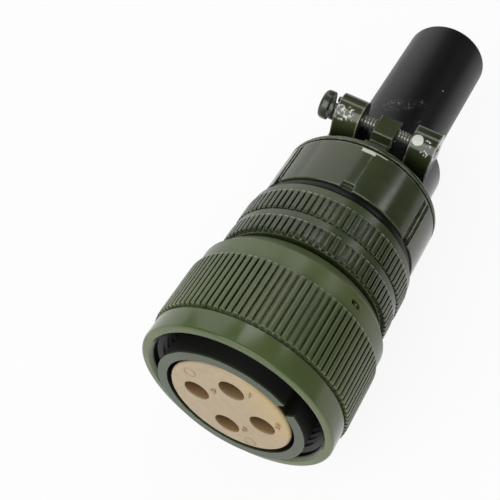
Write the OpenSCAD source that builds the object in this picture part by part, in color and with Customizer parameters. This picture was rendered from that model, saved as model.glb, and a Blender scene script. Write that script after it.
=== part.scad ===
// Four-way circular cable plug with a threaded coupling nut, a backshell
// and a two-screw cable clamp on a rubber bushing.
// The plug's axis is X: the mating end looks towards -X and the cable leaves towards +X.
// X = 0 is the front rim of the coupling nut, and +Z is the side of the upper clamp post.

/* [Coupling nut] */
// Radius of the coupling thread's major diameter, which sets the size of the shell
thread_r = 17.46; // [14.5:0.01:21]
// Wall of the nut, from the thread to the crests of the flutes
nut_wall = 2.79; // [2.3:0.01:3.5]
// Length of the nut
nut_len = 24.3; // [20:0.1:30]
// Depth of the coupling thread, from the rim to the ring that holds the nut on
thread_depth = 13; // [10:0.5:16]
// Length of the smooth collar behind the front rim
collar_len = 4.4; // [2:0.1:6]
// Length of the fluted band
flute_len = 12.2; // [8:0.1:14.5]
// Number of flutes
flute_count = 96; // [48:2:120]
// Depth of the flutes
flute_depth = 0.6; // [0.3:0.05:0.8]

/* [Front shell] */
// Gap between the coupling thread and the barrel, which the mating shell fills
mating_gap = 2.46; // [2:0.01:3]
// Wall of the barrel
barrel_wall = 1.9; // [1.5:0.05:2.3]
// How far the barrel stands out of the nut
barrel_out = 1.8; // [0:0.1:4]
// Width of the keyway slot
key_w = 2.9; // [2:0.1:4]
// Length of the keyway slot
key_len = 9; // [5:0.5:14]
// Angle of the keyway, from the upper post towards -Y
key_angle = 46.5; // [10:0.5:80]
// How far the backshell's thread stands over the barrel
rear_thread_step = 0.2; // [0.1:0.05:0.5]

/* [Insert and contacts] */
// Gap between the insert's face and the barrel
insert_gap = 0.75; // [0.6:0.05:1]
// Number of contacts
contact_count = 4; // [2:1:4]
// Radius of the circle that the contacts stand on
contact_ring_r = 6.75; // [5.6:0.05:8.1]
// Radius of a contact's bore, for a 3.6 mm pin
socket_bore_r = 1.83; // [1.5:0.01:2.2]
// Wall of a contact
socket_wall = 0.57; // [0.45:0.01:0.7]
// How deep a contact sits behind the insert's face
socket_recess = 3; // [1:0.1:5]

/* [Backshell] */
// Wall of the backshell, from its front thread to the crests of the grip teeth
bell_wall = 3.1; // [2.6:0.05:3.8]
// Number of grip teeth in each row
tooth_count = 84; // [40:2:100]
// Depth of the grip teeth
tooth_depth = 0.7; // [0.4:0.05:0.8]
// Gap between the nut and the backshell
bell_gap = 1.5; // [0.8:0.1:3]
// Length of the front row of teeth
front_row_len = 3.8; // [2.5:0.1:5]
// Length of the rear row of teeth
rear_row_len = 4.5; // [2.5:0.1:6]
// How far the clamp's thread stands under the backshell's front thread
clamp_thread_step = 0.12; // [0.1:0.01:0.5]

/* [Sealing ring] */
// Width of the rubber ring, from the thread outwards
seal_w = 1.82; // [1.5:0.01:2.2]
// Thickness of the rubber ring between the backshell and the clamp
seal_t = 2.1; // [1:0.1:3]

/* [Cable clamp] */
// Wall of the clamp body round its thread
clamp_wall = 2.02; // [1.6:0.01:2.5]
// Length of the clamp body without its posts
clamp_len = 13.1; // [12.5:0.1:16]
// Width of a post
post_w = 4.6; // [4:0.1:6]
// Gap between a clamp screw and the bushing
screw_gap = 2.18; // [1.7:0.01:2.7]
// Distance from the back of the clamp body to the screws
screw_back = 8.7; // [8:0.1:11]
// Gap between a post and a saddle's lugs
lug_gap = 3.3; // [2.7:0.1:4]
// Thickness of a saddle's lugs
lug_t = 5.4; // [3.5:0.1:6]
// Wall of a saddle's rounded ends round the screw
lug_wall = 2.38; // [1.9:0.01:2.9]
// Wall of a saddle where it bows round the bushing
bow_t = 3.5; // [2.5:0.1:4.5]

/* [Clamp screws] */
// Radius of the screws
screw_r = 1.42; // [1.2:0.01:1.7]
// How far a screw's head stands over its shank
head_over = 1.68; // [1.4:0.01:2]
// Thickness of a screw's head
head_t = 2; // [1.4:0.1:2.6]

/* [Rubber bushing] */
// Outer radius of the bushing
boot_r = 9.4; // [7.8:0.1:11.3]
// Wall of the bushing
boot_wall = 1.5; // [1:0.1:2.5]
// Length of the bushing behind the clamp body
boot_out = 50.5; // [20:0.5:80]

/* [Clearances] */
// Running clearance round the nut's bore
nut_fit = 0.09; // [0.03:0.01:0.1]
// Clearance of a screw in its holes
screw_fit = 0.08; // [0.03:0.01:0.1]
// Clearance between mating threads, pieces and seats of the plug's own body
seat_fit = 0.1; // [0.05:0.01:0.2]
// Clearance round the bushing
boot_fit = 0.3; // [0.2:0.05:0.4]

/* [Hidden] */
$fn = 96;
over = 1;                                  // how far a cutter runs past the face it cuts
post_side = 90;                            // the upper post's angle in the YZ plane, from +Y

// Radii that follow from the coupling thread, from front to back
nut_r = thread_r + nut_wall;
barrel_r = thread_r - mating_gap;
barrel_in = barrel_r - barrel_wall;
rear_thread_r = barrel_r + rear_thread_step;
bell_r = rear_thread_r + bell_wall;
clamp_thread_r = rear_thread_r - clamp_thread_step;
clamp_bore = clamp_thread_r + seat_fit;
seal_r = clamp_bore + seal_w;
clamp_r = clamp_bore + clamp_wall;

// Front shell, from front to back
shell_front = -barrel_out;
ring_t = 1.2;                              // the nut's own retaining ring and its groove
ring_depth = 0.7;
ring_land = 0.4;                           // wall between the ring and the flange
flange_x = thread_depth + ring_t + ring_land;
flange_t = 2.2;                            // the flange that the nut pulls on
flange_r = thread_r - 0.4;
neck_x = flange_x + flange_t;
neck_r = rear_thread_r + 0.8;
stop_x = 5.4;                              // the ridge that the insert seats on
stop_t = 1.6;
stop_r = barrel_in - 0.5;
cavity_r = barrel_in + 0.5;
groove_w = 1.2;                            // the retaining ring's groove
groove_depth = 0.7;
bell_x = nut_len + bell_gap;
rear_thread_len = 7.2;
shell_back = bell_x + rear_thread_len;

// Coupling nut
rim_land = 1.1;                            // flat of the front rim, from opening to fillet
rim_fillet = 0.5;
collar_r = nut_r - 0.5;
mouth_r = collar_r - rim_fillet - rim_land;
flute_x = collar_len + 0.7;
band_x = flute_x + flute_len;
band_r = nut_r - 0.62;
bevel_len = 2.6;
bevel_drop = 1.55;
shoulder_x = neck_x + 0.3;                 // face that pulls on the flange
lock_hole_angle = post_side + 39;          // short slot in the band, for a tool that turns the retaining ring
lock_hole_w = 1.1;
lock_hole_len = 2.4;
lock_hole_depth = 1.4;
lock_hole_x = nut_len - bevel_len - 1.6;

// Insert stack and contacts
insert_r = barrel_in - insert_gap;
insert_edge = 0.6;                         // rounded edge of the insert's face
split_x = 13;                              // where the two insert halves meet
insert_back = 21.4;
insert_seat_r = cavity_r - seat_fit;
socket_r = socket_bore_r + socket_wall;
hole_r = socket_r + 0.15;
socket_x = shell_front + socket_recess;
socket_bore_len = 10;
collar_half = 0.9;                         // half the length of a contact's locating collar
socket_collar_r = socket_r + 0.6;
cup_len = 6.1;                             // solder cup behind the insert
cup_wall = 0.55;
slit_w = 0.4;
washer_t = 1;
washer_in = contact_ring_r + socket_r + 0.9;
ring_gap_x = insert_back + washer_t;

// Backshell
bell_bevel = 0.6;
tooth_front_r = bell_r - tooth_depth;
row1_end = bell_x + front_row_len;
mid_ring_len = 2;
mid_ring_r = bell_r - 0.3;
step_len = 0.45;
row2_x = row1_end + mid_ring_len + step_len;
row2_end = row2_x + rear_row_len;
tail_len = 2.8;
tail_r = bell_r - 0.4;
tail_bevel = 0.5;
bell_back = row2_end + tail_len;
bell_wall_x = shell_back + 0.3;
bell_bore = clamp_thread_r - 2;
neck_len = 10.4;
bell_end = bell_back + neck_len;

// Cable clamp
clamp_x = bell_back + seal_t;
clamp_back = clamp_x + clamp_len;
end_wall = 1.7;                            // wall that traps the bushing's flange
rim_len = 1.1;
undercut = 0.45;
undercut_depth = 0.8;
groove_angles = [55, 125, 235, 305];       // lengthwise grooves, counted from the upper post
notch_angles = concat([0, 180], groove_angles);
post_notch_w = 2.6;
side_groove_w = 2.4;
clamp_groove_depth = 0.4;
notch_len = 1.5;
notch_depth = 1.1;
screw_x = clamp_back + screw_back;
boot_hole_r = boot_r + boot_fit;
head_front = 3.6;                          // the post head's reach to either side of the screw
head_rear = 2;
screw_z = boot_r + screw_gap + screw_r;    // height of the screws above and below the axis
post_head_z = screw_z + 2;
post_neck_z = screw_z - 0.5;
ledge_len = 1.6;
ledge_z = clamp_r - 1.2;
hole_screw_r = screw_r + screw_fit;

// Bushing and its washer
gland_x = bell_end;                        // the washer lies against the backshell's end
gland_t = 0.8;
boot_flange_x = gland_x + gland_t;
boot_flange_r = clamp_bore - 0.4;
boot_end = clamp_back + boot_out;
boot_round = 0.5;

// Saddles, screws and lock washers
lug_in = post_w / 2 + lug_gap;
lug_r = screw_r + lug_wall;
head_r = screw_r + head_over;
bow_in = boot_r + boot_fit;
bow_out = bow_in + bow_t;
lug_out = lug_in + lug_t;
spring_t = 0.9;                            // the lock washer's wire and how far it springs open
spring_rise = 1;
spring_in = screw_r + 0.15;
spring_out = spring_in + 1.05;
head_y = lug_out + spring_t + spring_rise;
tip_y = lug_out + 0.2;
drive_w = 0.8;                             // screwdriver slot
drive_depth = 0.9;

// Stands a shape drawn in XY, or built up Z, along the plug's axis:
// the drawing's X and Y become Y and Z, and its height becomes X.
module along_axis(x = 0) {
    translate([x, 0, 0]) rotate([90, 0, 90]) children();
}

// A turned solid from its outline, given as [radius, x] points.
module turned(outline, sweep = 360) {
    along_axis() rotate_extrude(angle = sweep) polygon(outline);
}

module rod(x0, x1, r) {
    along_axis(x0) cylinder(r = r, h = x1 - x0);
}

// Holes, or anything else, on the contacts' circle.
module at_contact(i) {
    along_axis() rotate(post_side + i * 360 / contact_count) translate([contact_ring_r, 0, 0]) children();
}

// Outline of a ring of straight teeth, with flats on the crests and in the roots.
function toothed(count, r, depth, crest = 0.5, root = 0.16) = [
    for (i = [0:count - 1], k = [-crest / 2, crest / 2, 0.5 - root / 2, 0.5 + root / 2])
        let (a = (i + k) * 360 / count, q = abs(k) < 0.3 ? r : r - depth)
            [q * cos(a), q * sin(a)]
];

// A band of teeth that replaces the same stretch of a turned piece.
module toothed_band(x0, x1, count, r, depth, bore) {
    along_axis(x0) linear_extrude(x1 - x0) difference() {
        polygon(toothed(count, r, depth));
        circle(r = bore);
    }
}

// ---- Coupling nut ----

module coupling_nut() {
    bore = neck_r + nut_fit;
    core = thread_r + 1.2;
    slot_reach = (lock_hole_len - lock_hole_w) / 2;
    color("#4a5430") difference() {
        union() {
            turned([
                [thread_r, mouth_r - thread_r], [mouth_r, 0], [mouth_r + rim_land, 0],
                for (a = [0:15:90])
                    [mouth_r + rim_land + rim_fillet * sin(a), rim_fillet * (1 - cos(a))],
                [collar_r, collar_len], [collar_r - 0.6, collar_len + 0.15],
                [collar_r - 0.6, flute_x], [core, flute_x], [core, band_x],
                [band_r, band_x], [band_r, nut_len - bevel_len],
                [band_r - bevel_drop, nut_len - 0.3], [band_r - bevel_drop - 0.3, nut_len],
                [bore, nut_len], [bore, shoulder_x], [thread_r, shoulder_x],
                [thread_r, thread_depth + ring_t], [thread_r + ring_depth, thread_depth + ring_t],
                [thread_r + ring_depth, thread_depth], [thread_r, thread_depth]
            ]);
            toothed_band(flute_x, band_x, flute_count, nut_r, flute_depth, core);
        }
        along_axis(lock_hole_x) rotate(lock_hole_angle) translate([band_r - lock_hole_depth, 0, 0]) {
            for (side = [-1, 1])
                translate([0, side * slot_reach, 0])
                    rotate([0, 90, 0]) cylinder(d = lock_hole_w, h = lock_hole_depth + over, $fn = 24);
            translate([0, -slot_reach, -lock_hole_w / 2])
                cube([lock_hole_depth + over, 2 * slot_reach, lock_hole_w]);
        }
    }
}

// Split wire ring in the nut's groove, in front of the shell's flange
module nut_retaining_ring() {
    gap_angle = 14;
    color("#8f9296") along_axis() rotate(gap_angle / 2) rotate_extrude(angle = 360 - gap_angle)
        polygon([
            [flange_r - 0.8, thread_depth + 0.1], [thread_r + ring_depth - seat_fit, thread_depth + 0.1],
            [thread_r + ring_depth - seat_fit, thread_depth + ring_t - 0.1],
            [flange_r - 0.8, thread_depth + ring_t - 0.1]
        ]);
}

// ---- Front shell ----

module front_shell() {
    groove_x = ring_gap_x;
    color("#3c4634") difference() {
        turned([
            [barrel_in, shell_front], [barrel_r - 0.25, shell_front],
            [barrel_r, shell_front + 0.25], [barrel_r, flange_x], [flange_r, flange_x],
            [flange_r, neck_x], [neck_r, neck_x], [neck_r, bell_x - 0.6],
            [rear_thread_r, bell_x - 0.6], [rear_thread_r, shell_back],
            [cavity_r, shell_back], [cavity_r, groove_x + groove_w],
            [cavity_r + groove_depth, groove_x + groove_w], [cavity_r + groove_depth, groove_x],
            [cavity_r, groove_x], [cavity_r, stop_x + stop_t], [stop_r, stop_x + stop_t],
            [stop_r, stop_x], [barrel_in, stop_x]
        ]);
        along_axis(shell_front - over) rotate(post_side + key_angle)
            translate([barrel_in - over, -key_w / 2, 0])
                cube([barrel_wall + 2 * over, key_w, key_len + over]);
    }
}

// ---- Insert halves, contacts and what holds them ----

module contact_holes(r, x0, x1) {
    for (i = [0:contact_count - 1])
        at_contact(i) translate([0, 0, x0]) cylinder(r = r, h = x1 - x0, $fn = 48);
}

module front_insert() {
    seat = stop_x + stop_t;
    color("#b8a588") difference() {
        turned([
            [0, shell_front],
            for (a = [0:15:90])
                [insert_r - insert_edge + insert_edge * sin(a), shell_front + insert_edge * (1 - cos(a))],
            [insert_r, seat], [insert_seat_r, seat], [insert_seat_r, split_x], [0, split_x]
        ]);
        contact_holes(hole_r, shell_front - over, split_x + over);
        contact_holes(socket_collar_r + seat_fit, split_x - collar_half - seat_fit, split_x + over);
    }
}

module rear_insert() {
    color("#a8977c") difference() {
        rod(split_x, insert_back, insert_seat_r);
        contact_holes(hole_r, split_x - over, insert_back + over);
        contact_holes(socket_collar_r + seat_fit, split_x - over, split_x + collar_half + seat_fit);
    }
}

// Socket contact: slit barrel in front, locating collar, and a solder cup behind
module socket_contact(i) {
    back = insert_back + cup_len;
    cup_r = socket_r - cup_wall;
    color("#c9cac6") at_contact(i) difference() {
        union() {
            translate([0, 0, socket_x]) cylinder(r = socket_r, h = back - socket_x, $fn = 48);
            translate([0, 0, split_x - collar_half])
                cylinder(r = socket_collar_r, h = 2 * collar_half, $fn = 48);
        }
        translate([0, 0, socket_x - over])
            cylinder(r = socket_bore_r, h = socket_bore_len + over, $fn = 48);
        translate([-socket_collar_r, -slit_w / 2, socket_x - over])
            cube([2 * socket_collar_r, slit_w, socket_bore_len * 0.6 + over]);
        translate([0, 0, insert_back + 0.6]) cylinder(r = cup_r, h = cup_len, $fn = 48);
        translate([0, -socket_r - over, back - cup_len / 2])
            cube([socket_r + over, 2 * (socket_r + over), cup_len]);
    }
}

module socket_contact_1() { socket_contact(0); }
module socket_contact_2() { socket_contact(1); }
module socket_contact_3() { socket_contact(2); }
module socket_contact_4() { socket_contact(3); }

module insert_washer() {
    color("#a4a7a8") difference() {
        rod(insert_back, insert_back + washer_t, insert_seat_r);
        rod(insert_back - over, insert_back + washer_t + over, washer_in);
    }
}

// Split ring that snaps into the shell's groove behind the washer
module insert_retaining_ring() {
    gap_angle = 30;
    r = cavity_r + groove_depth - seat_fit;
    color("#8f9296") along_axis() rotate(gap_angle / 2) rotate_extrude(angle = 360 - gap_angle)
        polygon([
            [cavity_r - 1.2, ring_gap_x], [r, ring_gap_x],
            [r, ring_gap_x + groove_w - seat_fit], [cavity_r - 1.2, ring_gap_x + groove_w - seat_fit]
        ]);
}

// ---- Backshell ----

module backshell() {
    core = bell_r - tooth_depth - 0.3;
    color("#414b33") union() {
        turned([
            [rear_thread_r + seat_fit, bell_x], [core, bell_x], [core, row1_end],
            [mid_ring_r, row1_end], [mid_ring_r, row2_x - step_len], [core, row2_x - step_len],
            [core, row2_end], [tail_r, row2_end], [tail_r, bell_back - tail_bevel],
            [tail_r - tail_bevel, bell_back], [clamp_thread_r, bell_back],
            [clamp_thread_r, bell_end], [bell_bore, bell_end], [bell_bore, bell_wall_x + 1.6],
            [cavity_r, bell_wall_x], [rear_thread_r + seat_fit, bell_wall_x]
        ]);
        toothed_band(bell_x + bell_bevel, row1_end, tooth_count, bell_r, tooth_depth, core);
        toothed_band(row2_x, row2_end, tooth_count, bell_r, tooth_depth, core);
    }
}

module sealing_ring() {
    edge = 0.5;
    seat = clamp_thread_r + seat_fit;
    color("#0c0d0d") turned([
        [seat, bell_back], [seal_r - edge, bell_back],
        for (a = [0:30:90]) [seal_r - edge + edge * sin(a), bell_back + edge * (1 - cos(a))],
        for (a = [90:30:180]) [seal_r - edge + edge * sin(a), clamp_x - edge * (1 + cos(a))],
        [seat, clamp_x]
    ]);
}

// ---- Cable clamp ----

// One post: a ledge on the rim, a recessed neck and a head that the screw passes through
module post() {
    inner = boot_hole_r;
    head_x = screw_x - head_front;
    start = clamp_back - end_wall / 2;
    difference() {
        union() {
            translate([start, -post_w / 2, inner])
                cube([head_x + 1 - start, post_w, post_neck_z - inner]);
            translate([start, -post_w / 2, inner])
                cube([clamp_back + ledge_len - start, post_w, ledge_z - inner]);
            translate([head_x, -post_w / 2, inner])
                cube([head_front + head_rear, post_w, post_head_z - inner]);
        }
        translate([screw_x, post_w, screw_z]) rotate([90, 0, 0])
            cylinder(r = hole_screw_r, h = 2 * post_w, $fn = 48);
    }
}

module clamp_grooves() {
    for (a = groove_angles)
        along_axis() rotate(post_side + a)
            translate([clamp_r - clamp_groove_depth, -side_groove_w / 2, clamp_x - over])
                cube([over, side_groove_w, clamp_len - rim_len - undercut + over]);
    for (a = notch_angles) {
        w = a % 180 == 0 ? post_notch_w : side_groove_w;
        along_axis() rotate(post_side + a)
            translate([clamp_r - notch_depth, -w / 2, clamp_x - over])
                cube([over * 2, w, notch_len + over]);
    }
}

module clamp_body() {
    undercut_x = clamp_back - rim_len - undercut;
    color("#48512f") union() {
        difference() {
            turned([
                [clamp_bore, clamp_x], [clamp_r - 0.2, clamp_x], [clamp_r, clamp_x + 0.2],
                [clamp_r, undercut_x], [clamp_r - undercut_depth, undercut_x],
                [clamp_r - undercut_depth, clamp_back - rim_len],
                [clamp_r, clamp_back - rim_len], [clamp_r, clamp_back - 0.4],
                [clamp_r - 0.4, clamp_back], [boot_hole_r, clamp_back],
                [boot_hole_r, clamp_back - end_wall], [clamp_bore, clamp_back - end_wall]
            ]);
            clamp_grooves();
        }
        post();
        mirror([0, 0, 1]) post();
    }
}

module gland_washer() {
    color("#a4a7a8") difference() {
        rod(gland_x, gland_x + gland_t, boot_flange_r);
        rod(gland_x - over, gland_x + gland_t + over, boot_r - boot_wall + 0.4);
    }
}

module rubber_bushing() {
    bore = boot_r - boot_wall;
    flange_end = clamp_back - end_wall;
    color("#0f1410") turned([
        [bore, boot_flange_x], [boot_flange_r, boot_flange_x], [boot_flange_r, flange_end],
        [boot_r, flange_end], [boot_r, boot_end - boot_round],
        for (a = [30:30:90])
            [boot_r - boot_round + boot_round * cos(a), boot_end - boot_round * (1 - sin(a))],
        [bore, boot_end]
    ]);
}

// A saddle on the +Y side: it bows round the bushing, and each end is a flat lug for a screw
module saddle() {
    reach = screw_z + lug_r;
    difference() {
        intersection() {
            along_axis(screw_x - lug_r) linear_extrude(2 * lug_r) difference() {
                union() {
                    intersection() {
                        circle(r = bow_out);
                        translate([lug_in, -bow_out]) square([bow_out, 2 * bow_out]);
                    }
                    translate([lug_in, -reach]) square([lug_t, 2 * reach]);
                }
                circle(r = bow_in);
            }
            union() {
                translate([screw_x - lug_r, 0, -screw_z]) cube([2 * lug_r, bow_out + over, 2 * screw_z]);
                for (side = [-1, 1])
                    translate([screw_x, bow_out + over, side * screw_z]) rotate([90, 0, 0])
                        cylinder(r = lug_r, h = bow_out + over, $fn = 64);
            }
        }
        for (side = [-1, 1])
            translate([screw_x, lug_out + over, side * screw_z]) rotate([90, 0, 0])
                cylinder(r = hole_screw_r, h = lug_t + 2 * over, $fn = 48);
    }
}

module saddle_a() { color("#465030") saddle(); }
module saddle_b() { color("#465030") mirror([0, 1, 0]) saddle(); }

// A clamp screw above the axis with its head on the +Y side
module clamp_screw() {
    color("#2f3426") difference() {
        union() {
            translate([screw_x, head_y, screw_z]) rotate([90, 0, 0])
                cylinder(r = screw_r, h = head_y + tip_y, $fn = 48);
            translate([screw_x, head_y, screw_z]) rotate([-90, 0, 0]) rotate_extrude()
                polygon([
                    [0, 0], [head_r - 0.2, 0], [head_r, 0.2],
                    for (a = [0:15:75]) [head_r * cos(a), 0.7 + (head_t - 0.7) * sin(a)],
                    [0, head_t]
                ]);
        }
        translate([screw_x, head_y + head_t - drive_depth, screw_z]) rotate([0, 35, 0])
            translate([-head_r - over, 0, -drive_w / 2]) cube([2 * (head_r + over), 2 * head_t, drive_w]);
    }
}

module clamp_screw_a() { clamp_screw(); }
module clamp_screw_b() { rotate([180, 0, 0]) clamp_screw(); }

// Split lock washer: one turn of square wire that springs open by its rise
module lock_washer() {
    steps = 32;
    turn = 346;
    corners = [[spring_in, 0], [spring_out, 0], [spring_out, spring_t], [spring_in, spring_t]];
    points = [
        for (i = [0:steps], c = corners)
            let (a = i * turn / steps) [c[0] * cos(a), c[0] * sin(a), c[1] + spring_rise * i / steps]
    ];
    walls = [
        for (i = [0:steps - 1], k = [0:3])
            [4 * i + k, 4 * i + (k + 1) % 4, 4 * i + 4 + (k + 1) % 4, 4 * i + 4 + k]
    ];
    color("#6f746c") translate([screw_x, lug_out, screw_z]) rotate([-90, 0, 0])
        polyhedron(points, concat([[3, 2, 1, 0]], walls, [[for (k = [0:3]) 4 * steps + k]]));
}

module lock_washer_a() { lock_washer(); }
module lock_washer_b() { rotate([180, 0, 0]) lock_washer(); }

coupling_nut();
nut_retaining_ring();
front_shell();
front_insert();
rear_insert();
socket_contact_1();
socket_contact_2();
socket_contact_3();
socket_contact_4();
insert_washer();
insert_retaining_ring();
backshell();
sealing_ring();
clamp_body();
gland_washer();
rubber_bushing();
saddle_a();
saddle_b();
clamp_screw_a();
clamp_screw_b();
lock_washer_a();
lock_washer_b();
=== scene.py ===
import math

import bmesh
import bpy
from mathutils import Matrix, Vector


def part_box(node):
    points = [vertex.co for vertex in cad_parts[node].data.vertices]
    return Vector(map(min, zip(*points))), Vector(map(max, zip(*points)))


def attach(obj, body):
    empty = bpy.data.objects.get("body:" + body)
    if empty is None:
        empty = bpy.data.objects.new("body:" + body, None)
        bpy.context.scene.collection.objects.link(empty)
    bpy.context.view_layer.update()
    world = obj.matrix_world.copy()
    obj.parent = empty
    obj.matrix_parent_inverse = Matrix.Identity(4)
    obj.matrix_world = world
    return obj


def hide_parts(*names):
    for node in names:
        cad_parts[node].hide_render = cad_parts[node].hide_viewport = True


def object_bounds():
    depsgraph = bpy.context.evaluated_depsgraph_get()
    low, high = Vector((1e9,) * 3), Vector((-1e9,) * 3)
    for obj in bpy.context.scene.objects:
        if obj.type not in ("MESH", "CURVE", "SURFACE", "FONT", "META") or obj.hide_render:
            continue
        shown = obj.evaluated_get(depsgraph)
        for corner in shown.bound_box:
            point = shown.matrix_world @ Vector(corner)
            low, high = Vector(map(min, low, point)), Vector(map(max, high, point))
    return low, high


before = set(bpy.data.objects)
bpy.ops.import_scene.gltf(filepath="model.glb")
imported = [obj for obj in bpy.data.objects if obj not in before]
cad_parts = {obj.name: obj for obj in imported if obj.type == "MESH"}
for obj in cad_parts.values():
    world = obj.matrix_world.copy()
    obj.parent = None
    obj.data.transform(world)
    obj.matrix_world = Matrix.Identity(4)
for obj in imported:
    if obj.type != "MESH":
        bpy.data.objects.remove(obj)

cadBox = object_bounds()
bpy.ops.object.select_all(action="DESELECT")

mm = 0.001      # pieces are shaped in millimetres and brought down to metres when they are finished
turn = 2 * math.pi


def boxOf(node):
    low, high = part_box(node)
    return low / mm, high / mm


def only(piece):
    bpy.ops.object.select_all(action="DESELECT")
    piece.select_set(True)
    bpy.context.view_layer.objects.active = piece


def edit(piece):
    only(piece)
    bpy.ops.object.mode_set(mode="EDIT")
    return bmesh.from_edit_mesh(piece.data)


def pick(piece, kind, test):
    # selects the vertices, edges or faces whose places pass the test
    shape = bmesh.from_edit_mesh(piece.data)
    bpy.ops.mesh.select_mode(type=kind)
    bpy.ops.mesh.select_all(action="DESELECT")
    for part in {"VERT": shape.verts, "EDGE": shape.edges, "FACE": shape.faces}[kind]:
        corners = [part.co] if kind == "VERT" else [v.co for v in part.verts]
        if all(test(c) for c in corners):
            part.select_set(True)
    shape.select_flush_mode()
    bmesh.update_edit_mesh(piece.data)


def done():
    bpy.ops.object.mode_set(mode="OBJECT")


def modify(piece, kind, **settings):
    only(piece)
    modifier = piece.modifiers.new(kind.title(), kind)
    for key, value in settings.items():
        setattr(modifier, key, value)
    bpy.ops.object.modifier_apply(modifier=modifier.name)


def softEdges(piece, width, segments=2, angle=35):
    modify(piece, "BEVEL", width=width, segments=segments, limit_method="ANGLE",
           angle_limit=math.radians(angle), miter_outer="MITER_ARC", harden_normals=False)


def cut(piece, tool, operation="DIFFERENCE"):
    modify(piece, "BOOLEAN", object=tool, operation=operation, solver="EXACT")
    bpy.data.objects.remove(tool)


def joined(name, pieces):
    bpy.ops.object.select_all(action="DESELECT")
    for piece in pieces:
        piece.select_set(True)
    bpy.context.view_layer.objects.active = pieces[0]
    if len(pieces) > 1:
        bpy.ops.object.join()
    whole = bpy.context.view_layer.objects.active
    whole.name = whole.data.name = name
    return whole


def traced(name, outline):
    # extrudes one point round a closed outline of (x, radius), and stays in edit mode
    bpy.ops.object.select_all(action="DESELECT")
    bpy.ops.mesh.primitive_plane_add(size=1)
    piece = bpy.context.object
    piece.name = name
    edit(piece)
    bpy.ops.mesh.select_mode(type="VERT")
    bpy.ops.mesh.select_all(action="SELECT")
    bpy.ops.mesh.merge(type="CENTER")
    bpy.ops.transform.translate(value=(outline[0][0], 0, outline[0][1]))
    for (x0, r0), (x1, r1) in zip(outline, outline[1:]):
        bpy.ops.mesh.extrude_region_move(TRANSFORM_OT_translate={"value": (x1 - x0, 0, r1 - r0)})
    ends = [Vector((x, 0, r)) for x, r in (outline[0], outline[-1])]
    pick(piece, "VERT", lambda v: min((v - e).length for e in ends) < 1e-4)
    bpy.ops.mesh.edge_face_add()
    return piece


def turned(name, outline, steps=144):
    # spins a closed outline about the plug's axis
    piece = traced(name, outline)
    bpy.ops.mesh.select_all(action="SELECT")
    bpy.ops.mesh.spin(steps=steps, angle=turn, use_auto_merge=True, center=(0, 0, 0), axis=(1, 0, 0))
    bpy.ops.mesh.select_all(action="SELECT")
    bpy.ops.mesh.remove_doubles(threshold=0.0005)
    bpy.ops.mesh.normals_make_consistent(inside=False)
    done()
    return piece


def block(low, high):
    centre = [(a + b) / 2 for a, b in zip(low, high)]
    bpy.ops.object.select_all(action="DESELECT")
    bpy.ops.mesh.primitive_cube_add(size=1, location=centre, scale=[b - a for a, b in zip(low, high)])
    piece = bpy.context.object
    bpy.ops.object.transform_apply(location=True, rotation=True, scale=True)
    return piece


def rod(start, length, r, axis="X", sides=48):
    # a cylinder whose first end is centred on start
    turnBy = {"X": (0, math.pi / 2, 0), "Y": (-math.pi / 2, 0, 0), "Z": (0, 0, 0)}[axis]
    way = {"X": Vector((1, 0, 0)), "Y": Vector((0, 1, 0)), "Z": Vector((0, 0, 1))}[axis]
    bpy.ops.object.select_all(action="DESELECT")
    bpy.ops.mesh.primitive_cylinder_add(vertices=sides, radius=r, depth=length,
                                        location=Vector(start) + way * length / 2, rotation=turnBy)
    piece = bpy.context.object
    bpy.ops.object.transform_apply(location=True, rotation=True, scale=True)
    return piece


def swung(piece, degrees, axis=(1, 0, 0), centre=(0, 0, 0)):
    spot = Vector(centre)
    move = Matrix.Translation(spot) @ Matrix.Rotation(math.radians(degrees), 4, Vector(axis))
    piece.matrix_world = move @ Matrix.Translation(-spot)
    only(piece)
    bpy.ops.object.transform_apply(location=True, rotation=True, scale=True)
    return piece


def toothRing(name, teeth):
    # one rounded tooth, copied round the axis by a spin that duplicates
    pitch = turn * teeth["crest"] / teeth["count"]
    half = pitch * teeth["share"] / 2
    foot = teeth["root"] - teeth["sunk"]
    tooth = block((teeth["start"], -half, foot), (teeth["end"], half, teeth["crest"]))
    tooth.name = name
    edit(tooth)
    for end in ("start", "end"):
        x = teeth[end]
        pick(tooth, "EDGE", lambda v: abs(v.x - x) < 1e-4 and v.z > foot + 0.001)
        bpy.ops.mesh.bevel(offset=teeth[end + "Slope"], segments=2, profile=0.6, affect="EDGES")
    pick(tooth, "EDGE", lambda v: v.z > teeth["crest"] - 1e-4)
    bpy.ops.mesh.bevel(offset=teeth["round"], segments=3, profile=0.5, affect="EDGES")
    bpy.ops.mesh.select_all(action="SELECT")
    copies = teeth["count"] - 1
    bpy.ops.mesh.spin(steps=copies, dupli=True, angle=turn * copies / teeth["count"],
                      center=(0, 0, 0), axis=(1, 0, 0))
    bpy.ops.mesh.select_all(action="SELECT")
    bpy.ops.mesh.normals_make_consistent(inside=False)
    done()
    return tooth


def helix(name, thread, steps=64):
    # a three-cornered ridge wound round the X axis; both ends are closed
    half = thread["pitch"] * 0.44
    start = thread["start"]
    piece = traced(name, [
        (start, thread["root"]), (start + half, thread["tip"]), (start + 2 * half, thread["root"])])
    done()
    turns = int((thread["end"] - thread["start"]) / thread["pitch"] - 0.9)
    modify(piece, "SCREW", axis="X", angle=turn, screw_offset=thread["pitch"], iterations=turns,
           steps=steps, render_steps=steps, use_merge_vertices=False, use_normal_calculate=False)
    edit(piece)
    bpy.ops.mesh.select_mode(type="EDGE")
    bpy.ops.mesh.select_all(action="DESELECT")
    bpy.ops.mesh.select_non_manifold()
    bpy.ops.mesh.edge_face_add()
    bpy.ops.mesh.select_all(action="SELECT")
    bpy.ops.mesh.normals_make_consistent(inside=False)
    done()
    return piece


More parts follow.
